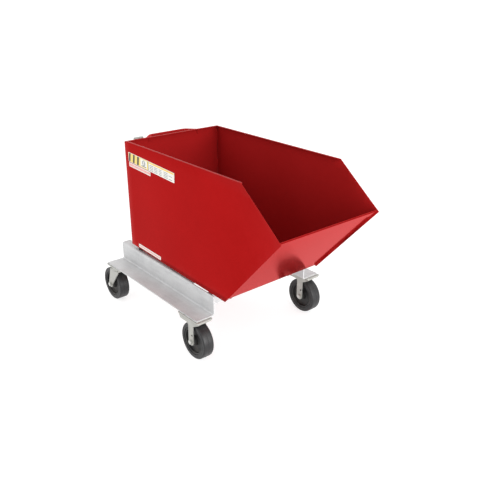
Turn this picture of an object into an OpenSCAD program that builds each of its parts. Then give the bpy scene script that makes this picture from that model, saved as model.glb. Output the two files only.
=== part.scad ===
// Tilting bulk hopper on a four-caster frame.
// +X points to the pouring nose, +Y to the left side, +Z up. The origin is on the floor, under the
// middle of the whole cart. Inside the modules, x is measured forward from the hopper's back face.

/* [Hopper] */
// Outside width over the two side panels
hopper_width = 510; // [420:1:620]
// Length of the side panels along the floor of the hopper
floor_length = 700; // [580:1:850]
// How far the floor falls from the back to the front
floor_fall = 16; // [0:1:28]
// Height of the back panel
wall_height = 487; // [400:1:590]
// Length of the level top edge
rim_length = 802; // [660:1:900]
// Distance from the back face to the pouring nose
nose_reach = 1004; // [960:1:1210]
// Height of the nose above the back bottom edge
nose_height = 322; // [260:1:366]
// Thickness of the hopper sheet
sheet_t = 3; // [2:0.5:4]
// How far the side panels stand ahead of the front panel
side_lip = 8.5; // [6:0.5:20]
// Width of the fold along the top edge
rim_fold = 12; // [8:1:18]

/* [Frame] */
// Height of each rail, foot to top flange
rail_height = 87; // [74:1:106]
// Thickness of the rails and cross members
rail_t = 5; // [4:0.5:6]
// Width of the foot flange outside the web
rail_foot = 85; // [70:1:104]
// Width of the top flange inside the web
rail_cap = 42; // [38:1:54]
// How far the top flange stops short of the rails' front end
cap_setback = 150; // [120:1:190]
// How far the rails run out behind the hopper
rail_tail = 96; // [84:1:120]
// How far the rails stop short of the hopper's bottom front edge
rail_setback = 74; // [62:1:90]
// Air left between the rail tops and the hopper floor at the rails' front end
front_gap = 8.5; // [4:0.5:12]

/* [Casters] */
// Wheel diameter
wheel_d = 160; // [130:1:192]
// Wheel width over the tread
wheel_w = 50; // [42:1:60]
// Height from the top of the wheel to the mounting face
crown_room = 28; // [26:1:36]
// Length of the caster top plate, front to back
plate_l = 114; // [100:1:136]
// Width of the caster top plate
plate_w = 76; // [74:1:104]
// How far the casters stand out from the hopper's side
caster_set_out = 52; // [46:1:58]
// How long the front casters' top plates are
front_plate_l = 138; // [110:1:150]
// How far behind the front axles their plates are centred
front_plate_shift = 14; // [0:1:20]
// Thickness of the caster top plate
plate_t = 6; // [5:0.5:8]
// Thickness of the fork steel
fork_t = 5; // [4:0.5:6]
// How far a swivel wheel trails behind its king pin
swivel_trail = 44; // [36:1:52]
// Distance of the front caster centres behind the rails' front end
front_caster_inset = 43; // [36:1:60]
// Distance of the king pins ahead of the rails' rear end
rear_caster_inset = 52; // [44:1:66]
// Diameter of the wheel axle bolts
axle_d = 12; // [10:0.5:14]

/* [Hinge] */
// Diameter of the two pins that the hopper tilts on
hinge_pin_d = 12; // [10:0.5:14]
// Distance of each hinge from the centre line
hinge_y = 170; // [140:1:185]
// Distance of the hinge axis behind the rails' front end
hinge_inset = 10; // [6:1:12]
// Height of the hopper floor above the hinge axis
hinge_drop = 36; // [33:1:41]
// Largest tilt of the hopper, in degrees
tilt_max = 60; // [45:1:65]

/* [Latch] */
// Distance of the latch bar to the right of the centre line
latch_offset = 165; // [155:1:185]
// Height of the latch pivot above the back bottom edge
latch_pivot_height = 118; // [100:1:140]
// Distance of the latch bar's middle behind the back panel
latch_standoff = 33; // [31:1:38]
// Width of the latch bar
latch_w = 25; // [20:1:30]
// Diameter of the latch pivot pin
latch_pin_d = 10; // [8:0.5:12]

/* [Hidden] */
$fn = 64;

// Clearances
pin_slack = 0.05;    // radial, a pin in its bush
rest_slack = 0.3;    // a part that rests on another body
side_slack = 1;      // each side of a part that turns between two plates

// Colours
hopper_red = [0.72, 0.1, 0.12];
mill_grey = [0.72, 0.73, 0.74];
zinc = [0.8, 0.81, 0.78];
tyre_black = [0.13, 0.13, 0.14];

// Wheels and forks
wheel_r = wheel_d / 2;
caster_height = wheel_d + crown_room;
race_gap = 11;
crown_top = caster_height - plate_t - race_gap;
tread_depth = 19;
core_r = wheel_r - tread_depth;
hub_half = wheel_w / 2 + 3;
leg_in = hub_half + side_slack;
leg_out = leg_in + fork_t;
leg_w = 32;
sleeve_r = axle_d / 2 + 4;
bolt_head_r = axle_d * 0.82;
bolt_head_h = axle_d * 0.63;
bolt_end = axle_d * 0.75;
ball_r = 4;
ball_ring_r = 26;
ball_count = 12;
king_pin_r = 6;
king_nut_h = 7;
raceway_r = ball_ring_r + ball_r + 6;
skirt_h = 20;

// Hopper outline in side view, from the back bottom edge
half_width = hopper_width / 2;
back_low = [0, 0];
front_low = [floor_length, -floor_fall];
nose = [nose_reach, nose_height];
rim_front = [rim_length, wall_height];
rim_back = [0, wall_height];

function unit(v) = v / norm(v);
function left_of(v) = [-v.y, v.x];
function cross2(a, b) = a.x * b.y - a.y * b.x;
// Where the line through p along d meets the line through q along e
function meet(p, d, q, e) = p + d * cross2(q - p, e) / cross2(d, e);

floor_dir = unit(front_low - back_low);
front_dir = unit(nose - front_low);
mouth_dir = unit(rim_front - nose);
floor_top = left_of(floor_dir) * sheet_t;
front_out = front_low + left_of(front_dir) * side_lip;
front_in = front_low + left_of(front_dir) * (side_lip + sheet_t);
floor_tip = meet(front_out, front_dir, back_low, floor_dir);
front_foot_out = meet(front_out, front_dir, floor_top, floor_dir);
front_foot_in = meet(front_in, front_dir, floor_top, floor_dir);
front_head_out = meet(front_out, front_dir, nose, mouth_dir);
front_head_in = meet(front_in, front_dir, nose, mouth_dir);
function floor_z(x) = hopper_z - floor_fall * x / floor_length;

// Frame
rail_front = floor_length - rail_setback;
rail_base_z = caster_height;
rail_top_z = caster_height + rail_height;
hopper_z = rail_top_z + front_gap + floor_fall * rail_front / floor_length;
rim_z = hopper_z + wall_height;
bend_r = rail_t;
web_in = half_width - rail_t;
member_top = rail_top_z - rail_t - bend_r;
front_member_h = 46;
rear_member_h = 60;
member_w = 30;
caster_y = half_width + caster_set_out;
front_caster_x = rail_front - front_caster_inset;
king_pin_x = -rail_tail + rear_caster_inset;
rear_wheel_x = king_pin_x - swivel_trail;

// Hinge
hinge_x = rail_front - hinge_inset;
hinge_z = floor_z(hinge_x) - hinge_drop;
hinge_eye_r = 16;
hinge_plate_t = 8;
bush_t = 2;
member_face = hinge_x - hinge_eye_r - 5;
lug_foot_back = 20;
lug_foot_front = 50;

// Latch
latch_y = -latch_offset;
bar_t = 6;
latch_x = -latch_standoff;
latch_z = hopper_z + latch_pivot_height;
boss_r = latch_pin_d / 2 + 4;
spring_gap = 11;
spring_wire_r = 1.2;
keeper_r = 6;
keeper_wall = 4;
keeper_x = latch_x - bar_t / 2 - keeper_r - keeper_wall;
keeper_z = member_top - 10;
toe_t = 7;
toe_top = keeper_z - keeper_r - 3;
grip_r = 7;
grip_l = 46;
grip_z = rim_z - grip_r - 1;
cheek_t = 4;

// Push handle
handle_r = 11;
handle_reach = 48;
handle_half = 95;
handle_foot = 140;
handle_z = rim_z - handle_r - 2;

// The cart's middle: from the rear wheel rims to the nose
back_x = (wheel_r - rear_wheel_x - nose_reach) / 2;

module from_back() {
    translate([back_x, 0, 0]) children();
}

// Extrudes an outline drawn in x and z along the cart's width
module across(y_from, y_to) {
    translate([0, y_to, 0]) rotate([90, 0, 0]) linear_extrude(y_to - y_from) children();
}

// Extrudes a section drawn in y and z along the cart's length
module along(x_from, x_to) {
    translate([x_from, 0, 0]) rotate([90, 0, 90]) linear_extrude(x_to - x_from) children();
}

module both_sides() {
    children();
    mirror([0, 1, 0]) children();
}

module rod_y(r, y_from, y_to) {
    translate([0, y_to, 0]) rotate([90, 0, 0]) cylinder(r = r, h = y_to - y_from);
}

module rounded_plate(l, w, r) {
    square([l - 2 * r, w], center = true);
    square([l, w - 2 * r], center = true);
    for (x = [-1, 1], y = [-1, 1]) translate([x * (l / 2 - r), y * (w / 2 - r)]) circle(r);
}

// One quarter of a bent sheet, inner radius r, in the quadrant that turn degrees points to
module sheet_bend(r, t, turn) {
    rotate(turn) intersection() {
        difference() {
            circle(r + t);
            circle(r);
        }
        square(r + t);
    }
}

// ---- Hopper ----

module side_panel() {
    color(hopper_red) from_back() translate([0, 0, hopper_z]) {
        across(half_width - sheet_t, half_width)
            polygon([back_low, front_low, nose, rim_front, rim_back]);
        translate([rim_fold, half_width - rim_fold, wall_height - sheet_t])
            cube([rim_length - rim_fold, rim_fold, sheet_t]);
    }
}

module right_side_panel() {
    mirror([0, 1, 0]) side_panel();
}

module left_side_panel() {
    side_panel();
}

module back_panel() {
    heel = floor_dir * sheet_t / floor_dir.x;
    color(hopper_red) from_back() translate([0, 0, hopper_z])
        across(sheet_t - half_width, half_width - sheet_t) {
            polygon([back_low, heel, [sheet_t, wall_height], rim_back]);
            translate([0, wall_height - sheet_t]) square([rim_fold, sheet_t]);
        }
}

module floor_panel() {
    heel = floor_dir * sheet_t / floor_dir.x;
    color(hopper_red) from_back() translate([0, 0, hopper_z])
        across(sheet_t - half_width, half_width - sheet_t)
            polygon([heel, floor_tip, front_foot_out, meet(heel, [0, 1], floor_top, floor_dir)]);
}

module front_panel() {
    color(hopper_red) from_back() translate([0, 0, hopper_z])
        across(sheet_t - half_width, half_width - sheet_t)
            polygon([front_foot_out, front_head_out, front_head_in, front_foot_in]);
}

// Flat bar that stiffens the pouring edge, under the front panel
module lip_bar() {
    bar_w = 30;
    bar_h = 3;
    seam = 0.005; // left by the weld
    edge = front_head_out - front_dir * 2 - left_of(front_dir) * seam;
    drop = left_of(front_dir) * bar_h;
    color(hopper_red) from_back() translate([0, 0, hopper_z])
        across(sheet_t - half_width, half_width - sheet_t)
            polygon([edge, edge - front_dir * bar_w, edge - front_dir * bar_w - drop, edge - drop]);
}

// Bent tube that the cart is pushed by, welded to the back panel
module push_handle() {
    spare = 20; // cut off flush with the back panel
    foot = [0, handle_foot];
    knee = [-handle_reach, handle_half];
    run = norm(knee - foot);
    turn = atan2(knee.y - foot.y, knee.x - foot.x);
    color(hopper_red) from_back() translate([0, 0, handle_z]) intersection() {
        union() {
            translate([-handle_reach, 0, 0]) rod_y(handle_r, -handle_half, handle_half);
            both_sides() {
                translate([knee.x, knee.y, 0]) sphere(handle_r);
                translate([foot.x, foot.y, 0]) rotate([0, 0, turn]) translate([-spare, 0, 0])
                    rotate([0, 90, 0]) cylinder(r = handle_r, h = run + spare);
            }
        }
        translate([-2 * handle_reach, -2 * handle_foot, -2 * handle_r])
            cube([2 * handle_reach, 4 * handle_foot, 4 * handle_r]);
    }
}

// Lugs welded under the hopper floor. Each has a heel that meets the cross member at full tilt.
module hinge_lugs() {
    heel_reach = hinge_x - member_face - rest_slack;
    heel_h = 9;
    color(hopper_red) from_back() for (s = [-1, 1])
        across(s * hinge_y - hinge_plate_t / 2, s * hinge_y + hinge_plate_t / 2) difference() {
            union() {
                translate([hinge_x, hinge_z]) circle(hinge_eye_r);
                translate([hinge_x, hinge_z]) rotate(180 + tilt_max) square([heel_reach, heel_h]);
                polygon([
                    [hinge_x - lug_foot_back, floor_z(hinge_x - lug_foot_back)],
                    [hinge_x - hinge_eye_r, hinge_z],
                    [hinge_x + hinge_eye_r, hinge_z],
                    [hinge_x + lug_foot_front, floor_z(hinge_x + lug_foot_front)]
                ]);
            }
            translate([hinge_x, hinge_z]) circle(hinge_pin_d / 2 + bush_t);
        }
}

module hinge_bushes() {
    bush_half = hinge_plate_t / 2 + 0.6;
    color("goldenrod") from_back() for (s = [-1, 1]) translate([hinge_x, s * hinge_y, hinge_z])
        difference() {
            rod_y(hinge_pin_d / 2 + bush_t, -bush_half, bush_half);
            rod_y(hinge_pin_d / 2 + pin_slack, -hinge_plate_t, hinge_plate_t);
        }
}

// ---- Latch on the back panel ----

module at_latch() {
    translate([latch_x, latch_y, latch_z]) children();
}

boss_half = latch_w / 2;
cheek_right = -boss_half - side_slack;
cheek_left = boss_half + side_slack + spring_gap;

module latch_bracket() {
    cheek_h = 40;
    base_margin = 8;
    eye_r = boss_r + 4;
    color(hopper_red) from_back() difference() {
        union() {
            translate([
                -cheek_t, latch_y + cheek_right - cheek_t - base_margin, latch_z - cheek_h / 2
            ]) cube([cheek_t, cheek_left - cheek_right + 2 * (cheek_t + base_margin), cheek_h]);
            for (y = [cheek_right - cheek_t, cheek_left])
                translate([0, latch_y + y, 0]) across(0, cheek_t) {
                    translate([latch_x, latch_z]) circle(eye_r);
                    polygon([
                        [-cheek_t, latch_z - cheek_h / 2], [latch_x, latch_z - eye_r],
                        [latch_x, latch_z + eye_r], [-cheek_t, latch_z + cheek_h / 2]
                    ]);
                }
        }
        at_latch() rod_y(latch_pin_d / 2, -2 * latch_w, 2 * latch_w);
    }
}

// Headed pin, held by its spread far end
module latch_pin() {
    head_h = 4;
    end_h = 3;
    color(zinc) from_back() at_latch() {
        rod_y(latch_pin_d / 2, cheek_right - cheek_t - 1, cheek_left + cheek_t + end_h);
        rod_y(latch_pin_d / 2 + 3, cheek_right - cheek_t - head_h, cheek_right - cheek_t);
        rod_y(latch_pin_d / 2 + 1.5, cheek_left + cheek_t, cheek_left + cheek_t + end_h);
    }
}

// Torsion spring round the pivot pin: closed turns, one tail on the bracket and one on the bar
module latch_spring() {
    turn_r = latch_pin_d / 2 + spring_wire_r + 0.5;
    turns = 4;
    pitch = 2 * spring_wire_r;
    tail_r = spring_wire_r - 0.1;
    tail_l = 16;
    first = boss_half + side_slack + spring_wire_r + 0.5;
    color(zinc) from_back() at_latch() {
        translate([0, first + pitch * (turns - 1) / 2, 0]) rotate([90, 0, 0]) difference() {
            cylinder(r = turn_r + spring_wire_r, h = pitch * turns, center = true);
            cylinder(r = turn_r - spring_wire_r, h = pitch * turns + 2, center = true);
        }
        translate([turn_r, first, 0]) cylinder(r = tail_r, h = tail_l);
        translate([-turn_r, first + pitch * (turns - 1), -tail_l])
            cylinder(r = tail_r, h = tail_l);
    }
}

// Flat bar with a pivot boss and a toe that hooks under the keeper
module latch_bar() {
    toe_tip = keeper_x - keeper_r - keeper_wall;
    color(zinc) from_back() {
        translate([0, latch_y, 0]) across(-latch_w / 2, latch_w / 2) difference() {
            union() {
                translate([latch_x - bar_t / 2, toe_top - toe_t])
                    square([bar_t, grip_z - toe_top + toe_t]);
                translate([toe_tip, toe_top - toe_t])
                    square([latch_x + bar_t / 2 - toe_tip, toe_t]);
                translate([latch_x, latch_z]) circle(boss_r);
            }
            translate([latch_x, latch_z]) circle(latch_pin_d / 2 + pin_slack);
        }
    }
}

module latch_grip() {
    grip_step = 2;
    color(zinc) from_back() translate([latch_x, latch_y, grip_z]) difference() {
        union() {
            rod_y(grip_r, grip_step - grip_l / 2, grip_l / 2 - grip_step);
            rod_y(grip_r - grip_step, -grip_l / 2, grip_l / 2);
        }
        translate([-bar_t / 2, -latch_w / 2, -grip_r * 2]) cube([bar_t, latch_w, grip_r * 2]);
    }
}

// ---- Frame ----

// Foot and web of the left rail, the web cut off plain at web_top
module foot_and_web(web_top) {
    foot_bend_z = rail_base_z + rail_t + bend_r;
    translate([half_width + bend_r, rail_base_z]) square([rail_foot - bend_r, rail_t]);
    translate([half_width + bend_r, foot_bend_z]) sheet_bend(bend_r, rail_t, 180);
    translate([web_in, foot_bend_z]) square([rail_t, web_top - foot_bend_z]);
}

// Bent section of the left rail: foot outward, web under the side panel, cap inward
module rail_section() {
    cap_bend_z = rail_top_z - rail_t - bend_r;
    foot_and_web(cap_bend_z);
    translate([web_in - bend_r, cap_bend_z]) sheet_bend(bend_r, rail_t, 0);
    translate([half_width - rail_cap, rail_top_z - rail_t])
        square([rail_cap - rail_t - bend_r, rail_t]);
}

module rail() {
    color(mill_grey) from_back() difference() {
        union() {
            along(-rail_tail, rail_front - cap_setback) rail_section();
            along(rail_front - cap_setback, rail_front) foot_and_web(rail_top_z);
        }
        translate([bumper_x, bumper_y, rail_top_z - 2 * rail_t]) cylinder(r = screw_r, h = 3 * rail_t);
    }
}

module right_rail() {
    mirror([0, 1, 0]) rail();
}

module left_rail() {
    rail();
}

// Channel between the rail webs, its web towards the given face
module channel(face_x, top_z, h) {
    translate([0, 0, top_z - h]) across(-web_in, web_in) {
        translate([face_x - rail_t, 0]) square([rail_t, h]);
        translate([face_x - member_w, 0]) square([member_w, rail_t]);
        translate([face_x - member_w, h - rail_t]) square([member_w, rail_t]);
    }
}

module front_cross_member() {
    color(mill_grey) from_back() channel(member_face, member_top, front_member_h);
}

module rear_cross_member() {
    color(mill_grey) from_back() channel(-rail_tail + member_w, member_top, rear_member_h);
}

ear_gap = hinge_plate_t / 2 + side_slack;

module hinge_ears() {
    color(mill_grey) from_back() for (s = [-1, 1], e = [-1, 1])
        translate([0, s * hinge_y + e * (ear_gap + hinge_plate_t / 2), 0])
            across(-hinge_plate_t / 2, hinge_plate_t / 2) difference() {
                union() {
                    translate([hinge_x, hinge_z]) circle(hinge_eye_r);
                    translate([member_face, hinge_z - hinge_eye_r])
                        square([hinge_x - member_face, 2 * hinge_eye_r]);
                }
                translate([hinge_x, hinge_z]) circle(hinge_pin_d / 2);
            }
}

pin_end = ear_gap + hinge_plate_t + 8;
cotter_y = 4.5 - pin_end;
cotter_r = 1.5;

// Headed pins. The head is on the outer ear, the cotter hole beside the inner one.
module hinge_pins() {
    ear_out = ear_gap + hinge_plate_t;
    head_h = 5;
    color(zinc) from_back() both_sides() translate([hinge_x, hinge_y, hinge_z]) difference() {
        union() {
            rod_y(hinge_pin_d / 2, -pin_end, ear_out);
            rod_y(hinge_pin_d / 2 + 4, ear_out, ear_out + head_h);
        }
        translate([0, cotter_y, 0]) cylinder(r = cotter_r, h = 2 * hinge_pin_d, center = true);
    }
}

module hinge_cotters() {
    ring_r = 2.6;
    ring_wire_r = 1.2;
    color(zinc) from_back() both_sides() translate([hinge_x, hinge_y + cotter_y, hinge_z]) {
        cylinder(r = cotter_r - 0.05, h = hinge_pin_d + 8, center = true);
        translate([0, 0, hinge_pin_d / 2 + 6]) rotate([90, 0, 0])
            rotate_extrude() translate([ring_r, 0]) circle(ring_wire_r);
    }
}

bumper_x = 42;
bumper_r = 15;
bumper_y = half_width - rail_cap + bumper_r + 1;
bumper_rim = 4;
screw_r = 3;
screw_depth = 12;

// Rubber buffers on the rails that carry the back of the hopper
module rest_bumpers() {
    top_z = floor_z(bumper_x + bumper_r) - rest_slack;
    color([0.12, 0.12, 0.12]) from_back() both_sides() translate([bumper_x, bumper_y, rail_top_z])
        difference() {
            union() {
                cylinder(r = bumper_r, h = bumper_rim);
                cylinder(r1 = bumper_r, r2 = bumper_r - 2, h = top_z - rail_top_z);
            }
            translate([0, 0, -1]) cylinder(r = screw_r, h = screw_depth + 1);
        }
}

module bumper_screws() {
    screw_head_h = 5;
    color(zinc) from_back() both_sides() translate([bumper_x, bumper_y, rail_top_z]) {
        translate([0, 0, -rail_t]) cylinder(r = screw_r, h = screw_depth + rail_t);
        translate([0, 0, -rail_t - screw_head_h])
            cylinder(r = screw_r * 1.8, h = screw_head_h, $fn = 6);
    }
}

// Round bar between two plates on the front of the rear cross member
module latch_keeper() {
    face = -rail_tail + member_w;
    plate_y = latch_w / 2 + 8;
    plate_half = 3;
    plate_r = keeper_r + keeper_wall;
    color(mill_grey) from_back() translate([0, latch_y, 0]) {
        for (s = [-1, 1]) translate([0, s * (plate_y + plate_half), 0]) across(-plate_half, plate_half) {
            translate([keeper_x, keeper_z]) circle(plate_r);
            translate([face, keeper_z - plate_r]) square([keeper_x - face, 2 * plate_r]);
        }
        translate([keeper_x, 0, keeper_z]) rod_y(keeper_r, -plate_y, plate_y);
    }
}

// ---- Casters ----

module caster_plate(length) {
    corner_r = 6;
    translate([0, 0, caster_height - plate_t]) linear_extrude(plate_t)
        rounded_plate(length, plate_w, corner_r);
}

module front_caster_plates() {
    color(zinc) from_back() both_sides()
        translate([front_caster_x - front_plate_shift, caster_y, 0]) caster_plate(front_plate_l);
}

// Inverted U that a fork is bent from, drawn in y and z with its top at top_z
module fork_section(top_z) {
    inner = 4;
    outer = fork_t + inner;
    translate([-(leg_out - outer), top_z - fork_t]) square([2 * (leg_out - outer), fork_t]);
    for (s = [-1, 1]) {
        translate([s * (leg_out - outer), top_z - outer])
            sheet_bend(inner, fork_t, s > 0 ? 0 : 90);
        translate([s > 0 ? leg_in : -leg_out, 0]) square([fork_t, top_z - outer]);
    }
}

// A leg outline in x and z: round at the axle, then its corners up the front and down the back
module leg_outline(axle_x, front_side, back_side) {
    foot = [[axle_x - leg_w / 2, wheel_r], [axle_x + leg_w / 2, wheel_r]];
    translate([axle_x, wheel_r]) circle(leg_w / 2);
    polygon(concat(foot, front_side, back_side));
}

module front_fork() {
    top_z = caster_height - plate_t;
    margin = 3;
    front_x = front_plate_l / 2 - front_plate_shift - margin;
    back_x = margin - front_plate_l / 2 - front_plate_shift;
    end_z = top_z - 6;
    skirt_z = top_z - skirt_h;
    neck = [leg_w / 2, skirt_z - 6];
    taper = 9;
    hole = [8, wheel_r + 33];
    hole_r = 4.5;
    color(zinc) from_back() translate([front_caster_x, caster_y, 0]) difference() {
        intersection() {
            along(-front_plate_l, front_plate_l) fork_section(top_z);
            across(-leg_out, leg_out)
                leg_outline(0, [neck, [front_x, end_z], [front_x, top_z]],
                            [[back_x, top_z], [back_x, end_z], [back_x + taper, skirt_z],
                             [-neck.x - 6, skirt_z], [-neck.x, neck.y]]);
        }
        translate([0, 0, wheel_r]) rod_y(axle_d / 2, -plate_w, plate_w);
        translate([hole.x, 0, hole.y]) rod_y(hole_r, -plate_w, plate_w);
    }
}

module right_front_fork() {
    mirror([0, 1, 0]) front_fork();
}

module left_front_fork() {
    front_fork();
}

// Hexagon-headed bolt along y, its head on the outer side
module axle_bolt() {
    rod_y(axle_d / 2, -leg_out - bolt_end, leg_out);
    translate([0, leg_out, 0]) rotate([-90, 0, 0]) cylinder(r = bolt_head_r, h = bolt_head_h, $fn = 6);
}

module axle_nut() {
    difference() {
        translate([0, -leg_out, 0]) rotate([90, 0, 0])
            cylinder(r = bolt_head_r, h = bolt_head_h, $fn = 6);
        rod_y(axle_d / 2, -plate_w, plate_w);
    }
}

module axle_sleeve() {
    difference() {
        rod_y(sleeve_r - pin_slack, -leg_in, leg_in);
        rod_y(axle_d / 2, -plate_w, plate_w);
    }
}

module at_front_wheel() {
    from_back() translate([front_caster_x, caster_y, wheel_r]) children();
}

module at_rear_wheel() {
    from_back() translate([rear_wheel_x, caster_y, wheel_r]) children();
}

module front_axle_bolts() {
    color(zinc) both_sides() at_front_wheel() axle_bolt();
}

module front_axle_nuts() {
    color(zinc) both_sides() at_front_wheel() axle_nut();
}

module front_axle_sleeves() {
    color(zinc) both_sides() at_front_wheel() axle_sleeve();
}

module tyre() {
    shoulder = 7;
    half = wheel_w / 2;
    color(tyre_black) rotate([90, 0, 0]) rotate_extrude() {
        translate([core_r, -half]) square([wheel_r - shoulder - core_r, wheel_w]);
        translate([core_r, shoulder - half])
            square([wheel_r - core_r, wheel_w - 2 * shoulder]);
        for (s = [-1, 1]) translate([wheel_r - shoulder, s * (half - shoulder)]) circle(shoulder);
    }
}

module core() {
    rim_half = wheel_w / 2 - 3;
    rim_t = 8;
    web_half = 9;
    hub_t = 11;
    color([0.2, 0.2, 0.21]) rotate([90, 0, 0]) rotate_extrude() {
        translate([sleeve_r, -hub_half]) square([hub_t, 2 * hub_half]);
        translate([sleeve_r, -web_half]) square([core_r - sleeve_r, 2 * web_half]);
        translate([core_r - rim_t, -rim_half]) square([rim_t, 2 * rim_half]);
    }
}

module right_front_tyre() { mirror([0, 1, 0]) at_front_wheel() tyre(); }
module right_front_core() { mirror([0, 1, 0]) at_front_wheel() core(); }
module left_front_tyre() { at_front_wheel() tyre(); }
module left_front_core() { at_front_wheel() core(); }
module right_rear_tyre() { mirror([0, 1, 0]) at_rear_wheel() tyre(); }
module right_rear_core() { mirror([0, 1, 0]) at_rear_wheel() core(); }
module left_rear_tyre() { at_rear_wheel() tyre(); }
module left_rear_core() { at_rear_wheel() core(); }

module at_king_pin() {
    from_back() translate([king_pin_x, caster_y, 0]) children();
}

race_top = caster_height - plate_t;
crown_ring = crown_top + 3;
king_pin_end = crown_top - fork_t - king_nut_h - 2;

module rear_caster_plates() {
    color(zinc) both_sides() at_king_pin() {
        difference() {
            caster_plate(plate_l);
            cylinder(r = king_pin_r, h = caster_height + 1);
        }
        difference() {
            translate([0, 0, race_top - 5]) cylinder(r = ball_ring_r - ball_r - 1, h = 5);
            cylinder(r = king_pin_r, h = caster_height + 1);
        }
    }
}

module king_pins() {
    color(zinc) both_sides() at_king_pin()
        translate([0, 0, king_pin_end]) cylinder(r = king_pin_r, h = caster_height - king_pin_end);
}

module king_pin_nuts() {
    color(zinc) both_sides() at_king_pin() difference() {
        translate([0, 0, crown_top - fork_t - rest_slack - king_nut_h])
            cylinder(r = king_pin_r * 1.7, h = king_nut_h, $fn = 6);
        cylinder(r = king_pin_r, h = caster_height);
    }
}

module rear_fork() {
    lip_air = 1.2;
    crown_front = 34;
    crown_back = -36;
    skirt = 12;
    mid_z = (crown_top - skirt + wheel_r) / 2;
    front_neck = [(crown_front + leg_w / 2 - swivel_trail) / 2, mid_z];
    back_neck = [(crown_back - leg_w / 2 - swivel_trail) / 2, mid_z];
    color(zinc) at_king_pin() difference() {
        union() {
            intersection() {
                along(-plate_l, plate_l) fork_section(crown_top);
                across(-leg_out, leg_out)
                    leg_outline(-swivel_trail,
                                [front_neck, [crown_front, crown_top - skirt],
                                 [crown_front, crown_top]],
                                [[crown_back, crown_top], [crown_back, crown_top - skirt],
                                 back_neck]);
            }
            translate([0, 0, crown_top - 1]) difference() {
                cylinder(r = raceway_r, h = crown_ring - crown_top + 1);
                translate([0, 0, -1]) cylinder(r = king_pin_r + 4, h = race_gap * 2);
            }
            translate([0, 0, crown_ring - 1]) difference() {
                cylinder(r = raceway_r, h = race_top - crown_ring + 1 - lip_air);
                translate([0, 0, -1]) cylinder(r = ball_ring_r + ball_r + 2.5, h = race_gap * 2);
            }
        }
        cylinder(r = king_pin_r + pin_slack, h = caster_height);
        translate([-swivel_trail, 0, wheel_r]) rod_y(axle_d / 2, -plate_w, plate_w);
    }
}

module rear_balls() {
    color(zinc) at_king_pin() for (i = [0:ball_count - 1]) rotate([0, 0, i * 360 / ball_count])
        translate([ball_ring_r, 0, (race_top + crown_ring) / 2]) sphere(ball_r - 0.1);
}

module right_rear_fork() { mirror([0, 1, 0]) rear_fork(); }
module right_rear_balls() { mirror([0, 1, 0]) rear_balls(); }
module right_rear_axle_bolt() { color(zinc) mirror([0, 1, 0]) at_rear_wheel() axle_bolt(); }
module right_rear_axle_nut() { color(zinc) mirror([0, 1, 0]) at_rear_wheel() axle_nut(); }
module right_rear_axle_sleeve() { color(zinc) mirror([0, 1, 0]) at_rear_wheel() axle_sleeve(); }
module left_rear_fork() { rear_fork(); }
module left_rear_balls() { rear_balls(); }
module left_rear_axle_bolt() { color(zinc) at_rear_wheel() axle_bolt(); }
module left_rear_axle_nut() { color(zinc) at_rear_wheel() axle_nut(); }
module left_rear_axle_sleeve() { color(zinc) at_rear_wheel() axle_sleeve(); }

right_side_panel();
left_side_panel();
back_panel();
floor_panel();
front_panel();
lip_bar();
push_handle();
hinge_lugs();
hinge_bushes();
latch_bracket();
latch_pin();
latch_spring();
latch_bar();
latch_grip();
right_rail();
left_rail();
front_cross_member();
rear_cross_member();
hinge_ears();
hinge_pins();
hinge_cotters();
rest_bumpers();
bumper_screws();
latch_keeper();
front_caster_plates();
right_front_fork();
left_front_fork();
front_axle_bolts();
front_axle_nuts();
front_axle_sleeves();
rear_caster_plates();
king_pins();
king_pin_nuts();
right_rear_fork();
right_rear_balls();
right_rear_axle_bolt();
right_rear_axle_nut();
right_rear_axle_sleeve();
left_rear_fork();
left_rear_balls();
left_rear_axle_bolt();
left_rear_axle_nut();
left_rear_axle_sleeve();
right_front_tyre();
right_front_core();
left_front_tyre();
left_front_core();
right_rear_tyre();
right_rear_core();
left_rear_tyre();
left_rear_core();
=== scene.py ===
import math
import bmesh
import bpy
from mathutils import Matrix, Vector


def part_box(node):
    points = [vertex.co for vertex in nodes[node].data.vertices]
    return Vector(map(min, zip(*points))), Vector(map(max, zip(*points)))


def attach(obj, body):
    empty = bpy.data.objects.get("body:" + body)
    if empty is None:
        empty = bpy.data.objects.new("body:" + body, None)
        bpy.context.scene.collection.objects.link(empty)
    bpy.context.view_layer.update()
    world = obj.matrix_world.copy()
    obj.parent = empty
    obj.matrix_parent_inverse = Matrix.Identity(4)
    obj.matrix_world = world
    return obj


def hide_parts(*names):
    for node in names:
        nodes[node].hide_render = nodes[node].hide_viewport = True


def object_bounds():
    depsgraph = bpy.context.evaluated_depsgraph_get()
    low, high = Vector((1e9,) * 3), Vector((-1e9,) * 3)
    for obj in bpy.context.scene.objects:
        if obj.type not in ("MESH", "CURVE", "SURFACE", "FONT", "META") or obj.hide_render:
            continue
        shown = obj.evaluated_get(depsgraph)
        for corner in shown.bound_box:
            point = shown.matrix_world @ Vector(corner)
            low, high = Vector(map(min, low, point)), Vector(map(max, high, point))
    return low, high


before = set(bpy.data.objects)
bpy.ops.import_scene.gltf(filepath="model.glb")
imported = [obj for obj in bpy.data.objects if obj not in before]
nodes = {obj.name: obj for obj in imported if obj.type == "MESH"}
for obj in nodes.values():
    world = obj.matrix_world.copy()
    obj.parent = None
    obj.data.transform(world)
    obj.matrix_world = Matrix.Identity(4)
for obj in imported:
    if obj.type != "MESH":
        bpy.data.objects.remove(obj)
cad_low, cad_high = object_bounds()

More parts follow.
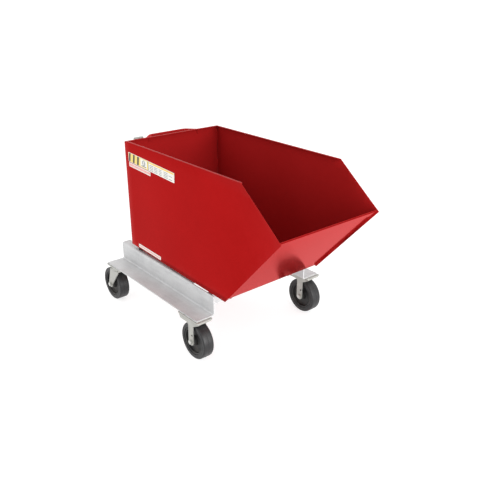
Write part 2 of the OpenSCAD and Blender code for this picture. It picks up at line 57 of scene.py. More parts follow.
# ---- Camera ----
# It stands at head height off the pouring end's right-hand corner and looks down over the mouth
# of the hopper, with a slightly long lens.
bearing = math.radians(50.237)
look_down = math.radians(23.148)
camera_place = Vector((1.9020, -1.5145, 1.4097))
to_camera = Vector((
    math.sin(bearing) * math.cos(look_down), -math.cos(bearing) * math.cos(look_down),
    math.sin(look_down)))
camera_data = bpy.data.cameras.new("camera")
camera_data.lens = 44.68
camera_data.sensor_width = 36
camera = bpy.data.objects.new("camera", camera_data)
camera.location = camera_place
camera.rotation_mode = "QUATERNION"
camera.rotation_quaternion = to_camera.to_track_quat("Z", "Y")
bpy.context.scene.collection.objects.link(camera)
bpy.context.scene.camera = camera


# ---- Hopper sheets ----
# Five blanks of 3 mm steel sheet, sheared, the long edges eased and the top edges folded inward
# in a brake. They are welded along their seams and powder coated bright red as one piece.

def add(tree, kind, inputs=None, **settings):
    """A shader or geometry node with its settings, and its inputs set to values or linked."""
    made = tree.nodes.new(kind)
    for key, value in settings.items():
        setattr(made, key, value)
    for key, value in (inputs or {}).items():
        if isinstance(value, bpy.types.NodeSocket):
            tree.links.new(value, made.inputs[key])
        else:
            made.inputs[key].default_value = value
    return made


def new_group(name, inputs):
    """An empty shader node group that takes numbers and puts out a Mask, and its two end nodes."""
    group = bpy.data.node_groups.new(name, "ShaderNodeTree")
    for label, value in inputs.items():
        socket = group.interface.new_socket(label, in_out="INPUT", socket_type="NodeSocketFloat")
        socket.default_value = value
    group.interface.new_socket("Mask", in_out="OUTPUT", socket_type="NodeSocketFloat")
    return group, group.nodes.new("NodeGroupInput"), group.nodes.new("NodeGroupOutput")


def make_edge_wear():
    """Where edges are rubbed: the difference between the rounded and the true normal, broken up."""
    group, given, result = new_group(
        "edge_wear", {"Radius": 0.002, "Break Up": 90.0, "Amount": 0.5})
    place = add(group, "ShaderNodeTexCoord").outputs["Object"]
    round_normal = add(group, "ShaderNodeBevel", {"Radius": given.outputs["Radius"]}, samples=6)
    true_normal = add(group, "ShaderNodeNewGeometry").outputs["Normal"]
    same = add(group, "ShaderNodeVectorMath", {0: round_normal.outputs[0], 1: true_normal},
               operation="DOT_PRODUCT")
    edge = add(group, "ShaderNodeMapRange",
               {"Value": same.outputs["Value"], "From Min": 0.995, "From Max": 0.8})
    spots = add(group, "ShaderNodeTexNoise",
                {"Vector": place, "Scale": given.outputs["Break Up"], "Detail": 6.0, "Roughness": 0.7})
    gate = add(group, "ShaderNodeMapRange",
               {"Value": spots.outputs["Fac"], "From Min": 0.52, "From Max": 0.62})
    both = add(group, "ShaderNodeMath", {0: edge.outputs[0], 1: gate.outputs[0]},
               operation="MULTIPLY")
    mask = add(group, "ShaderNodeMath", {0: both.outputs[0], 1: given.outputs["Amount"]},
               operation="MULTIPLY", use_clamp=True)
    group.links.new(mask.outputs[0], result.inputs["Mask"])
    return group


def make_mottle():
    """Slow cloudy change with a finer one over it, as a mask round one half."""
    group, given, result = new_group(
        "mottle", {"Scale": 6.0, "Fine Scale": 60.0, "Fine Share": 0.3})
    place = add(group, "ShaderNodeTexCoord").outputs["Object"]
    slow = add(group, "ShaderNodeTexNoise",
               {"Vector": place, "Scale": given.outputs["Scale"], "Detail": 3.0, "Roughness": 0.5})
    fine = add(group, "ShaderNodeTexNoise",
               {"Vector": place, "Scale": given.outputs["Fine Scale"], "Detail": 4.0,
                "Roughness": 0.6})
    mixed = add(group, "ShaderNodeMix",
                {0: given.outputs["Fine Share"], 2: slow.outputs["Fac"], 3: fine.outputs["Fac"]})
    group.links.new(mixed.outputs[0], result.inputs["Mask"])
    return group


def make_dust():
    """Dust that settles on what faces up and in what lies low, heavier in patches."""
    group, given, result = new_group("dust", {"Amount": 0.3, "Low": 0.0, "High": 0.3})
    place = add(group, "ShaderNodeTexCoord").outputs["Object"]
    height = add(group, "ShaderNodeSeparateXYZ", {0: place}).outputs["Z"]
    low = add(group, "ShaderNodeMapRange",
              {"Value": height, "From Min": given.outputs["High"], "From Max": given.outputs["Low"]})
    facing = add(group, "ShaderNodeSeparateXYZ",
                 {0: add(group, "ShaderNodeTexCoord").outputs["Normal"]}).outputs["Z"]
    up = add(group, "ShaderNodeMapRange",
             {"Value": facing, "From Min": 0.2, "From Max": 1.0, "To Max": 0.6})
    most = add(group, "ShaderNodeMath", {0: low.outputs[0], 1: up.outputs[0]}, operation="MAXIMUM")
    patches = add(group, "ShaderNodeTexNoise",
                  {"Vector": place, "Scale": 22.0, "Detail": 7.0, "Roughness": 0.65})
    gate = add(group, "ShaderNodeMapRange",
               {"Value": patches.outputs["Fac"], "From Min": 0.42, "From Max": 0.7})
    both = add(group, "ShaderNodeMath", {0: most.outputs[0], 1: gate.outputs[0]},
               operation="MULTIPLY")
    mask = add(group, "ShaderNodeMath", {0: both.outputs[0], 1: given.outputs["Amount"]},
               operation="MULTIPLY", use_clamp=True)
    group.links.new(mask.outputs[0], result.inputs["Mask"])
    return group


def make_hairlines():
    """Fine straight rub marks that run along one axis, in thin broken lines."""
    group, given, result = new_group("hairlines", {"Scale": 30.0, "Stretch": 0.04})
    place = add(group, "ShaderNodeTexCoord").outputs["Object"]
    axes = add(group, "ShaderNodeSeparateXYZ", {0: place})
    along = add(group, "ShaderNodeMath", {0: axes.outputs["X"], 1: given.outputs["Stretch"]},
                operation="MULTIPLY")
    squeezed = add(group, "ShaderNodeCombineXYZ",
                   {"X": along.outputs[0], "Y": axes.outputs["Y"], "Z": axes.outputs["Z"]})
    lines = add(group, "ShaderNodeTexNoise",
                {"Vector": squeezed.outputs[0], "Scale": given.outputs["Scale"], "Detail": 8.0,
                 "Roughness": 0.8})
    group.links.new(lines.outputs["Fac"], result.inputs["Mask"])
    return group


edge_wear = make_edge_wear()
mottle = make_mottle()
dust = make_dust()
hairlines = make_hairlines()


def use(tree, group, **inputs):
    """A shader node group placed in a tree, with its own values; returns its Mask."""
    made = add(tree, "ShaderNodeGroup", node_tree=group)
    for label, value in inputs.items():
        made.inputs[label.replace("_", " ")].default_value = value
    return made.outputs["Mask"]


def blended(tree, mask, first, second):
    """One colour going over to another where the mask says."""
    made = add(tree, "ShaderNodeMix", {0: mask}, data_type="RGBA")
    for index, colour in ((6, first), (7, second)):
        if isinstance(colour, bpy.types.NodeSocket):
            tree.links.new(colour, made.inputs[index])
        else:
            made.inputs[index].default_value = (*colour, 1)
    return made.outputs[2]


def ranged(tree, mask, low, high, start=0.0, end=1.0):
    """A mask turned into a number from low to high."""
    return add(tree, "ShaderNodeMapRange",
               {"Value": mask, "From Min": start, "From Max": end, "To Min": low, "To Max": high}
               ).outputs[0]


def surface(name, **shader_values):
    """A material and its Principled shader, with the sockets that stay constant already set."""
    material = bpy.data.materials.new(name)
    material.use_nodes = True
    tree = material.node_tree
    shader = tree.nodes["Principled BSDF"]
    for label, value in shader_values.items():
        shader.inputs[label.replace("_", " ")].default_value = value
    return material, tree, shader


def feed(tree, shader, **sockets):
    """Links what changes over a surface into the shader's inputs of those names."""
    for label, socket in sockets.items():
        tree.links.new(socket, shader.inputs[label.replace("_", " ")])


def bumped(tree, shader, height, depth, strength):
    """Turns a height into the shader's bump, depth in metres."""
    made = add(tree, "ShaderNodeBump",
               {"Height": height, "Distance": depth, "Strength": strength})
    feed(tree, shader, Normal=made.outputs[0])


def finish_mesh(name, bm, material, eased=0.0, steps=2):
    """An object at the origin from a bmesh: shaded smooth, its sharp edges eased by a small round."""
    mesh = bpy.data.meshes.new(name)
    bm.to_mesh(mesh)
    bm.free()
    mesh.materials.append(material)
    mesh.shade_smooth()
    mesh.set_sharp_from_angle(angle=math.radians(40))
    piece = bpy.data.objects.new(name, mesh)
    bpy.context.scene.collection.objects.link(piece)
    if eased:
        bevel = piece.modifiers.new("eased", "BEVEL")
        bevel.width = eased
        bevel.segments = steps
        bevel.limit_method = "ANGLE"
        bevel.angle_limit = math.radians(38)
        bevel.use_clamp_overlap = True
        even = piece.modifiers.new("even", "WEIGHTED_NORMAL")
        even.keep_sharp = False
        mesh.set_sharp_from_angle(angle=math.radians(180))
        applied(piece)
    return piece


def applied(piece):
    """Turns a piece's modifiers into its plain mesh."""
    shown = piece.evaluated_get(bpy.context.evaluated_depsgraph_get())
    mesh = bpy.data.meshes.new_from_object(shown)
    piece.modifiers.clear()
    piece.data = mesh


def fit(piece, body, slot, *stands_for):
    """Fixes a piece to its body and hides the CAD nodes that it stands for; the slot is not used."""
    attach(piece, body)
    if stands_for:
        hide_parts(*stands_for)


def furthest(node, direction):
    """The corner of a CAD node that lies furthest along a direction."""
    direction = Vector(direction)
    return max((v.co for v in nodes[node].data.vertices), key=direction.dot).copy()


def slab(outline, thickness):
    """A flat blank: an outline of (u, v) points, and w from 0 to its thickness."""
    bm = bmesh.new()
    front = bm.faces.new([bm.verts.new((u, v, 0)) for u, v in outline])
    moved = bmesh.ops.extrude_face_region(bm, geom=[front])
    for vert in moved["geom"]:
        if isinstance(vert, bmesh.types.BMVert):
            vert.co.z += thickness
    bmesh.ops.recalc_face_normals(bm, faces=bm.faces)
    return bm


def ease(bm, width):
    """Rounds every sharp edge of a blank."""
    sharp = [e for e in bm.edges if len(e.link_faces) == 2 and e.calc_face_angle() > 0.5]
    bmesh.ops.bevel(bm, geom=sharp, offset=width, segments=2, profile=0.5, affect="EDGES")


def cut_across(bm, axis, places):
    """Cuts a mesh with planes square to an axis, so that it can bend there."""
    normal = Vector((0, 0, 0))
    normal[axis] = 1
    for place in places:
        bmesh.ops.bisect_plane(
            bm, geom=bm.verts[:] + bm.edges[:] + bm.faces[:], plane_co=normal * place,
            plane_no=normal)


def steps_between(low, high, count):
    """Evenly spaced places between two ends, without the ends."""
    return [low + (high - low) * (i + 1) / (count + 1) for i in range(count)]


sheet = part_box("lip_bar")[1].y  # half the width between the side sheets
sheet_t = -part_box("right_side_panel")[0].y - sheet
outer_y = sheet + sheet_t
back_low = furthest("right_side_panel", (-1, 0, -1))
front_low = furthest("right_side_panel", (0, 0, -1))
nose = furthest("right_side_panel", (1, 0, 0))
rim_front = furthest("right_side_panel", (0.3, 0, 1))
rim_back = furthest("right_side_panel", (-1, 0, 1))
rim_z = rim_back.z
fold_w = outer_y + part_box("right_side_panel")[1].y
fold_r = 0.0048
fold_line = rim_z - fold_r
arc_length = (fold_r - sheet_t / 2) * math.pi / 2
flange_end = fold_line + arc_length + fold_w - fold_r
sheared_r = 0.0006
seam_gap = 0.0002
edge_free = 0.05  # a sheet lies true at a weld and waves fully this far from it
waviness = 0.0005
outer_skin = 0.0018  # a sheet's outer face lies less deep than this, waves included
inner_skin = 0.0026  # and its inner face lies deeper than this


def inside_of_hopper(tree, place):
    """A mask that is one on the hopper's inner faces, which the goods rub dull, and which are made
    less metallic as painted light, so that the shaded inside renders lighter.
    """
    walls = [(Vector((0, -1, 0)), "right_side_panel"), (Vector((0, 1, 0)), "left_side_panel"),
             (Vector((-1, 0, 0)), "back_panel")]
    for start, end, node in ((back_low, front_low, "floor_panel"), (front_low, nose, "front_panel")):
        along = (end - start).normalized()
        walls.append((Vector((along.z, 0, -along.x)), node))
    mask = 1.0
    for outward, node in walls:
        face = furthest(node, outward).dot(outward)
        reach = add(tree, "ShaderNodeVectorMath", {0: place, 1: outward}, operation="DOT_PRODUCT")
        behind = ranged(tree, reach.outputs["Value"], 0, 1, face - outer_skin, face - inner_skin)
        mask = add(tree, "ShaderNodeMath", {0: behind, 1: mask}, operation="MULTIPLY").outputs[0]
    return mask


def make_powder_coat():
    material, tree, shader = surface(
        "red_powder_coat", Specular_IOR_Level=0.05, Specular_Tint=(1.0, 0.0, 0.0, 1.0))
    place = add(tree, "ShaderNodeTexCoord").outputs["Object"]
    cloud = use(tree, mottle, Scale=3.2, Fine_Scale=45.0, Fine_Share=0.25)
    red = blended(tree, ranged(tree, cloud, 0, 1, 0.3, 0.7), (0.32, 0.011, 0.011),
                  (0.37, 0.0135, 0.014))
    worn = use(tree, edge_wear, Radius=0.0016, Break_Up=140.0, Amount=0.5)
    red = blended(tree, worn, red, (0.24, 0.03, 0.028))
    dusty = use(tree, dust, Amount=0.1, Low=0.28, High=0.34)
    red = blended(tree, dusty, red, (0.33, 0.22, 0.2))
    rub = use(tree, hairlines, Scale=55.0, Stretch=0.12)
    gloss = add(tree, "ShaderNodeMath",
                {0: ranged(tree, cloud, 0.1, 0.17, 0.3, 0.7), 1: ranged(tree, rub, -0.03, 0.05)},
                operation="ADD")
    dull = add(tree, "ShaderNodeMath",
               {0: gloss.outputs[0], 1: ranged(tree, dusty, 0, 0.3)}, operation="ADD",
               use_clamp=True)
    inside = inside_of_hopper(tree, place)
    scuffed = add(tree, "ShaderNodeMath",
                  {0: dull.outputs[0], 1: ranged(tree, inside, 0, 0.22)}, operation="ADD",
                  use_clamp=True)
    # Inside the hopper the coat is rougher where the goods rub it dull. It is also less metallic,
    # which is painted light that lifts the shaded inside.
    feed(tree, shader, Base_Color=red, Roughness=scuffed.outputs[0],
         Metallic=ranged(tree, inside, 0.6, 0.1))
    peel = add(tree, "ShaderNodeTexNoise",
               {"Vector": place, "Scale": 420.0, "Detail": 2.0, "Roughness": 0.45})
    ripple = add(tree, "ShaderNodeTexNoise",
                 {"Vector": place, "Scale": 9.0, "Detail": 1.0, "Roughness": 0.4})
    height = add(tree, "ShaderNodeMix",
                 {0: 0.75, 2: peel.outputs["Fac"], 3: ripple.outputs["Fac"]})
    bumped(tree, shader, height.outputs[0], 0.0009, 0.1)
    return material


powder_coat = make_powder_coat()


def fold_over(v, w):
    """Where a point of the blank goes: up the wall, round the fold and inward.

    v runs up the blank, w through its thickness. Returns the distance in from the wall's outer
    face and the height."""
    if v <= fold_line:
        return w, v
    if v <= fold_line + arc_length:
        turn = (v - fold_line) / arc_length * math.pi / 2
        return (fold_r - (fold_r - w) * math.cos(turn),
                fold_line + (fold_r - w) * math.sin(turn))
    return fold_r + v - fold_line - arc_length, rim_z - w


def wave(x, z, seed):
    """How far a welded sheet lies out of true, in metres, at a point on it."""
    return waviness * (math.sin(x * 9.1 + seed) * math.sin(z * 7.3 + 1.7 * seed)
                       + 0.5 * math.sin(x * 17.0 + 2.3 * seed + z * 6.0))


def sheet_blank(outline, low_u, high_u, columns, low_v):
    """A sheared blank, cut into columns and rows so that it can fold and lie slightly wavy."""
    bm = slab(outline, sheet_t)
    ease(bm, sheared_r)
    cut_across(bm, 0, steps_between(low_u, high_u, columns))
    cut_across(bm, 1, steps_between(low_v, fold_line, 12))
    just_below = fold_line - 0.0002
    cut_across(bm, 1, steps_between(just_below, fold_line + arc_length, 5))
    return bm


def out_of_true(along, z, seed, *from_edges):
    """The wave at a point, pushed inward and fading out near the edges, which are welded true."""
    calm = max(0.0, min(1.0, *(distance / edge_free for distance in from_edges)))
    return (wave(along, z, seed) + 1.5 * waviness) * calm


def side_sheet(name, side):
    """A side panel: a blank with a flange strip along its level top edge, then folded."""
    start = rim_back.x + fold_w + 2 * seam_gap
    outline = [
        (back_low.x, back_low.z), (front_low.x, front_low.z), (nose.x, nose.z),
        (rim_front.x, fold_line), (rim_front.x - fold_w, flange_end), (start, flange_end),
        (start, fold_line), (back_low.x, rim_z - sheared_r)]
    bm = sheet_blank(outline, back_low.x, nose.x, 24, front_low.z)
    for vert in bm.verts:
        x, v, w = vert.co
        into, z = fold_over(v, w)
        into += out_of_true(
            x, z, side, fold_line - v, x - back_low.x, nose.x - x, v - front_low.z)
        vert.co = (x, side * (outer_y - into), z)
    bmesh.ops.recalc_face_normals(bm, faces=bm.faces)
    return finish_mesh(name, bm, powder_coat)


for side, label in ((-1, "right"), (1, "left")):
    panel = side_sheet(f"{label}_side_sheet", side)
    fit(panel, "hopper", "red_powder_coat", f"{label}_side_panel")


def back_sheet():
    """The back panel: a blank as wide as the gap between the sides, folded at its top."""
    half = sheet - seam_gap
    outline = [(-half, back_low.z), (half, back_low.z), (half, fold_line),
               (half, flange_end), (-half, flange_end)]
    bm = sheet_blank(outline, -half, half, 14, back_low.z)
    for vert in bm.verts:
        y, v, w = vert.co
        into, z = fold_over(v, w)
        into += out_of_true(y, z, 3, half - abs(y), fold_line - v, v - back_low.z)
        vert.co = (back_low.x + into, y, z)
    bmesh.ops.recalc_face_normals(bm, faces=bm.faces)
    return finish_mesh("back_sheet", bm, powder_coat)


fit(back_sheet(), "hopper", "red_powder_coat", "back_panel")


def merged(node):
    """A CAD node's mesh as a bmesh, its loose triangles joined and its flat faces made whole."""
    bm = bmesh.new()
    bm.from_mesh(nodes[node].data)
    bmesh.ops.remove_doubles(bm, verts=bm.verts, dist=1e-6)
    bmesh.ops.dissolve_limit(
        bm, angle_limit=math.radians(0.5), verts=bm.verts, edges=bm.edges)
    return bm


def softened(node, material, body, slot, eased, steps=2):
    """The node's own shape with its sheared or machined edges eased, standing for it."""
    piece = finish_mesh(f"{node}_eased", merged(node), material, eased, steps)
    fit(piece, body, slot, node)


for node, eased in (("floor_panel", sheared_r), ("front_panel", sheared_r), ("lip_bar", 0.001),
                    ("hinge_lugs", 0.0008), ("latch_bracket", 0.0007)):
    softened(node, powder_coat, "hopper", "red_powder_coat", eased)


# ---- Push handle ----
# One length of 22 mm round tube, bent twice towards the hopper in a tube bender, its ends
# coped and welded to the back panel, powder coated with the hopper.

def skin(bm, rings):
    """Adds the faces between rings of points, and closes the first and the last ring."""
    count = len(rings[0])
    for near, far in zip(rings, rings[1:]):
        for k in range(count):
            bm.faces.new((near[k], near[(k + 1) % count], far[(k + 1) % count], far[k]))
    bm.faces.new(list(reversed(rings[0])))
    bm.faces.new(rings[-1])


def tube(bm, path, radius, sides):
    """Adds a round tube along a path of points, with capped ends."""
    rings = []
    up = Vector((0, 0, 1))
    for before, point, after in zip(path[:1] + path, path, path[1:] + path[-1:]):
        heading = (after - before).normalized()
        across = heading.cross(up)
        if across.length < 1e-3:
            across = heading.cross(Vector((0, 1, 0)))
        across.normalize()
        over = across.cross(heading)
        rings.append([
            bm.verts.new(point + radius * (math.cos(a) * across + math.sin(a) * over))
            for a in (2 * math.pi * k / sides for k in range(sides))])
    skin(bm, rings)


def rounded_path(corners, radius, pieces=8):
    """Points along straight runs whose inner corners are arcs of the given radius."""
    path = [corners[0]]
    for before, corner, after in zip(corners, corners[1:], corners[2:]):
        a, b = (before - corner).normalized(), (after - corner).normalized()
        half = a.angle(b) / 2
        reach = radius / math.tan(half)
        centre = corner + (a + b).normalized() * radius / math.sin(half)
        start, end = corner + a * reach - centre, corner + b * reach - centre
        path += [centre + start.lerp(end, i / pieces).normalized() * radius
                 for i in range(pieces + 1)]
    path.append(corners[-1])
    return path


handle_low, handle_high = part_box("push_handle")
tube_r = (handle_high.z - handle_low.z) / 2
handle_z = (handle_high.z + handle_low.z) / 2
handle_x = handle_low.x + tube_r
handle_top_half = 0.095
handle_foot_half = 0.140
handle_bend_r = 0.03
bm = bmesh.new()
tube(bm, rounded_path([
    Vector((back_low.x, handle_foot_half, handle_z)),
    Vector((handle_x, handle_top_half, handle_z)),
    Vector((handle_x, -handle_top_half, handle_z)),
    Vector((back_low.x, -handle_foot_half, handle_z))], handle_bend_r), tube_r, 32)
bmesh.ops.recalc_face_normals(bm, faces=bm.faces)
fit(finish_mesh("bent_push_handle", bm, powder_coat), "hopper", "red_powder_coat", "push_handle")


# ---- Rails and cross members ----
# Two rails bent from 5 mm hot-rolled and pickled plate, with a wide foot outside and a narrow
# cap inside, and two channels welded between their webs. They are left in the bare grey metal.

def make_mill_steel():
    material, tree, shader = surface("mill_steel", Metallic=0.0, Specular_IOR_Level=0.5)
    place = add(tree, "ShaderNodeTexCoord").outputs["Object"]
    cloud = use(tree, mottle, Scale=14.0, Fine_Scale=120.0, Fine_Share=0.35)
    grey = blended(tree, ranged(tree, cloud, 0, 1, 0.35, 0.65), (0.47, 0.475, 0.48),
                   (0.6, 0.605, 0.608))
    rolled = use(tree, hairlines, Scale=48.0, Stretch=0.05)
    grey = blended(tree, ranged(tree, rolled, 0, 0.55, 0.45, 0.75), grey, (0.7, 0.705, 0.71))
    flake = add(tree, "ShaderNodeTexVoronoi", {"Vector": place, "Scale": 60.0})
    grey = blended(tree, ranged(tree, flake.outputs["Color"], 0, 0.12), grey, (0.74, 0.745, 0.75))
    worn = use(tree, edge_wear, Radius=0.003, Break_Up=70.0, Amount=0.55)
    grey = blended(tree, worn, grey, (0.78, 0.785, 0.79))
    dusty = use(tree, dust, Amount=0.25, Low=0.15, High=0.24)
    grey = blended(tree, dusty, grey, (0.33, 0.31, 0.28))
    feed(tree, shader, Base_Color=grey, Metallic=ranged(tree, cloud, 0.2, 0.4, 0.3, 0.7),
         Roughness=ranged(tree, rolled, 0.42, 0.66, 0.3, 0.7))
    height = add(tree, "ShaderNodeMix", {0: 0.5, 2: rolled, 3: cloud})
    bumped(tree, shader, height.outputs[0], 0.0006, 0.3)
    return material


mill_steel = make_mill_steel()
for node in ("right_rail", "left_rail", "front_cross_member", "rear_cross_member",
             "hinge_ears", "latch_keeper"):
    softened(node, mill_steel, "frame", "mill_steel", 0.0009)


# ---- Casters ----
# Pressed steel caster frames, zinc plated with a warm passivated tint: flat top plates, rigid
# forks at the front and raked swivel forks at the back that ride on a ring of balls.

def make_zinc():
    material, tree, shader = surface("zinc_plate")
    cloud = use(tree, mottle, Scale=26.0, Fine_Scale=190.0, Fine_Share=0.4)
    pale = blended(tree, ranged(tree, cloud, 0, 1, 0.35, 0.65), (0.36, 0.36, 0.335),
                   (0.46, 0.46, 0.43))
    worn = use(tree, edge_wear, Radius=0.0016, Break_Up=160.0, Amount=0.5)
    pale = blended(tree, worn, pale, (0.56, 0.56, 0.55))
    dusty = use(tree, dust, Amount=0.45, Low=0.03, High=0.16)
    pale = blended(tree, dusty, pale, (0.34, 0.32, 0.28))
    rub = use(tree, hairlines, Scale=90.0, Stretch=0.3)
    feed(tree, shader, Base_Color=pale, Metallic=ranged(tree, cloud, 0.5, 0.72, 0.3, 0.7),
         Roughness=ranged(tree, rub, 0.32, 0.52, 0.3, 0.7))
    height = add(tree, "ShaderNodeMix", {0: 0.5, 2: rub, 3: cloud})
    bumped(tree, shader, height.outputs[0], 0.0004, 0.3)
    return material


zinc = make_zinc()
for node in ("front_caster_plates", "rear_caster_plates", "right_front_fork", "left_front_fork"):
    softened(node, zinc, "frame", "zinc_plate", 0.0009)
for label in ("right", "left"):
    softened(f"{label}_rear_fork", zinc, f"{label}_rear_swivel", "zinc_plate", 0.0009)


# ---- Axle bolts and nuts ----
# Hexagon bolts and locking nuts, turned and rolled, zinc plated. The bolt's head is on the
# outer leg, and the nut, with its round locking collar, is run up against the inner leg.

def make_bright_steel():
    material, tree, shader = surface("plated_fasteners")
    cloud = use(tree, mottle, Scale=60.0, Fine_Scale=400.0, Fine_Share=0.5)
    bright = blended(tree, ranged(tree, cloud, 0, 1, 0.35, 0.65), (0.5, 0.5, 0.47),
                     (0.64, 0.64, 0.62))
    worn = use(tree, edge_wear, Radius=0.0008, Break_Up=300.0, Amount=0.7)
    bright = blended(tree, worn, bright, (0.75, 0.75, 0.74))
    feed(tree, shader, Base_Color=bright, Metallic=ranged(tree, cloud, 0.75, 0.9),
         Roughness=ranged(tree, cloud, 0.28, 0.45, 0.3, 0.7))
    bumped(tree, shader, cloud, 0.0003, 0.25)
    return material


bright_steel = make_bright_steel()


def hexagon(bm, corner_r, height, collar=0.0, per_side=8):
    """Adds a chamfered hexagon head that stands on z = 0, with a round collar on top for a nut."""
    flat = corner_r * math.cos(math.pi / 6)
    chamfered = flat * 0.96
    rings = [[], [], [], []]
    for k in range(6 * per_side):
        angle = 2 * math.pi * k / (6 * per_side)
        within = (angle + math.pi / 6) % (math.pi / 3) - math.pi / 6
        reach = flat / math.cos(within)
        drop = (reach - chamfered) * math.tan(math.radians(30))
        out = Vector((math.cos(angle), math.sin(angle), 0))
        rings[0].append(bm.verts.new(out * chamfered))
        rings[1].append(bm.verts.new(out * reach + Vector((0, 0, drop))))
        rings[2].append(bm.verts.new(out * reach + Vector((0, 0, height - collar - drop))))
        rings[3].append(bm.verts.new(out * chamfered + Vector((0, 0, height - collar))))
    if collar:
        for share, lift in ((0.8, 0.0), (0.8, 0.7), (0.72, 1.0)):
            shrink = flat * share / chamfered
            top = height - collar * (1 - lift)
            rings.append([bm.verts.new((v.co.x * shrink, v.co.y * shrink, top))
                          for v in rings[3]])
    skin(bm, rings)


metric_depth = 0.61  # a metric thread's depth, as a share of its pitch


def threaded(bm, radius, length, pitch=0.00175, sides=28):
    """Adds a rod along z with a screw thread, chamfered at its end."""
    rows = int(length / pitch * 6)
    rings = []
    for i in range(rows + 1):
        along = length * i / rows
        ring = []
        for k in range(sides):
            angle = 2 * math.pi * k / sides
            phase = (along / pitch - k / sides) % 1
            depth = metric_depth * pitch * abs(2 * phase - 1)
            taper = max(0.0, along - (length - pitch)) * 0.8
            reach = radius - depth - taper
            ring.append(bm.verts.new((reach * math.cos(angle), reach * math.sin(angle), along)))
        rings.append(ring)
    skin(bm, rings)


def rod(bm, radius, low, high, sides=32):
    """Adds a plain round rod along z."""
    tube(bm, [Vector((0, 0, low)), Vector((0, 0, high))], radius, sides)


def placed(bm, first, matrix):
    """Moves what was added since a vertex count, from its own z axis to its place."""
    bm.verts.ensure_lookup_table()
    bmesh.ops.transform(bm, matrix=matrix, verts=bm.verts[first:])


axle_r = 0.006
head_share = 0.63  # a standard head's height, as a share of the bolt's diameter


def axle_bolt_mesh(bm, node_box, outward):
    """A bolt along the axle: head outside, plain shank, thread at the inner end."""
    low, high = node_box
    length = high.y - low.y
    head_r = (high.x - low.x) / 2
    head_h = axle_r * 2 * head_share
    thread = 0.016
    into_head, into_shank = 0.001, 0.0003
    shank_end = thread - length + head_h
    first = len(bm.verts)
    hexagon(bm, head_r, head_h)
    rod(bm, axle_r, shank_end, into_head)
    second = len(bm.verts)
    threaded(bm, axle_r, thread)
    placed(bm, second, Matrix.Translation((0, 0, shank_end + into_shank))
           @ Matrix.Rotation(math.pi, 4, "X"))
    middle = (low + high) / 2
    face_y = (high.y - head_h) if outward > 0 else (low.y + head_h)
    turn = Matrix.Rotation(-math.pi / 2 * outward, 4, "X")
    placed(bm, first, Matrix.Translation((middle.x, face_y, middle.z)) @ turn)


def axle_nut_mesh(bm, node_box, outward):
    """A locking nut whose flat side meets the inner leg."""
    low, high = node_box
    first = len(bm.verts)
    hexagon(bm, (high.x - low.x) / 2, high.y - low.y, collar=0.0018)
    middle = (low + high) / 2
    face_y = high.y if outward > 0 else low.y
    turn = Matrix.Rotation(math.pi / 2 * outward, 4, "X")
    placed(bm, first, Matrix.Translation((middle.x, face_y, middle.z)) @ turn)


def halves(node):
    """The boxes of a node's right-hand and left-hand solids."""
    low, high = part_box(node)
    inner = min(v.co.y for v in nodes[node].data.vertices if v.co.y > 0)
    return {-1: (low, Vector((high.x, -inner, high.z))), 1: (Vector((low.x, inner, low.z)), high)}


def hardware(name, makers, body, stands_for):
    """One object of plated fasteners from a list of (function, box, side)."""
    bm = bmesh.new()
    for make, node_box, side in makers:
        make(bm, node_box, side)
    bmesh.ops.recalc_face_normals(bm, faces=bm.faces)
    fit(finish_mesh(name, bm, bright_steel), body, "zinc_fasteners", stands_for)


hardware("front_hex_bolts",
         [(axle_bolt_mesh, b, s) for s, b in halves("front_axle_bolts").items()],
         "frame", "front_axle_bolts")
hardware("front_lock_nuts",
         [(axle_nut_mesh, b, s) for s, b in halves("front_axle_nuts").items()],
         "frame", "front_axle_nuts")
for side, label in ((-1, "right"), (1, "left")):
    hardware(f"{label}_rear_hex_bolt",
             [(axle_bolt_mesh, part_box(f"{label}_rear_axle_bolt"), side)],
             f"{label}_rear_swivel", f"{label}_rear_axle_bolt")
    hardware(f"{label}_rear_lock_nut",
             [(axle_nut_mesh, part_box(f"{label}_rear_axle_nut"), side)],
             f"{label}_rear_swivel", f"{label}_rear_axle_nut")


# ---- Wheels ----
# Each wheel is a dark, hard tread moulded onto a solid moulded centre, with a mould line round
# the middle of the tread. Rolling has scuffed the tread, and the faces stay a little shinier.

def make_tread():
    material, tree, shader = surface("moulded_tread", Specular_IOR_Level=0.4)
    cloud = use(tree, mottle, Scale=18.0, Fine_Scale=170.0, Fine_Share=0.45)
    dark = blended(tree, ranged(tree, cloud, 0, 1, 0.35, 0.65), (0.0095, 0.0095, 0.0105),
                   (0.021, 0.021, 0.0225))
    worn = use(tree, edge_wear, Radius=0.003, Break_Up=80.0, Amount=0.5)
    dark = blended(tree, worn, dark, (0.06, 0.06, 0.063))
    dusty = use(tree, dust, Amount=0.35, Low=0.0, High=0.05)
    dark = blended(tree, dusty, dark, (0.13, 0.12, 0.105))
    feed(tree, shader, Base_Color=dark, Roughness=ranged(tree, cloud, 0.34, 0.52, 0.3, 0.7))
    bumped(tree, shader, cloud, 0.0006, 0.35)
    return material


def make_centre():
    material, tree, shader = surface("moulded_centre", Specular_IOR_Level=0.4)
    cloud = use(tree, mottle, Scale=30.0, Fine_Scale=260.0, Fine_Share=0.5)
    dark = blended(tree, ranged(tree, cloud, 0, 1, 0.35, 0.65), (0.0095, 0.0095, 0.01),
                   (0.019, 0.019, 0.02))
    worn = use(tree, edge_wear, Radius=0.0015, Break_Up=150.0, Amount=0.5)
    dark = blended(tree, worn, dark, (0.06, 0.06, 0.06))
    dusty = use(tree, dust, Amount=0.5, Low=0.02, High=0.11)
    dark = blended(tree, dusty, dark, (0.15, 0.14, 0.12))
    feed(tree, shader, Base_Color=dark, Roughness=ranged(tree, cloud, 0.42, 0.62, 0.3, 0.7))
    bumped(tree, shader, cloud, 0.0005, 0.35)
    return material


tread_material = make_tread()
centre_material = make_centre()


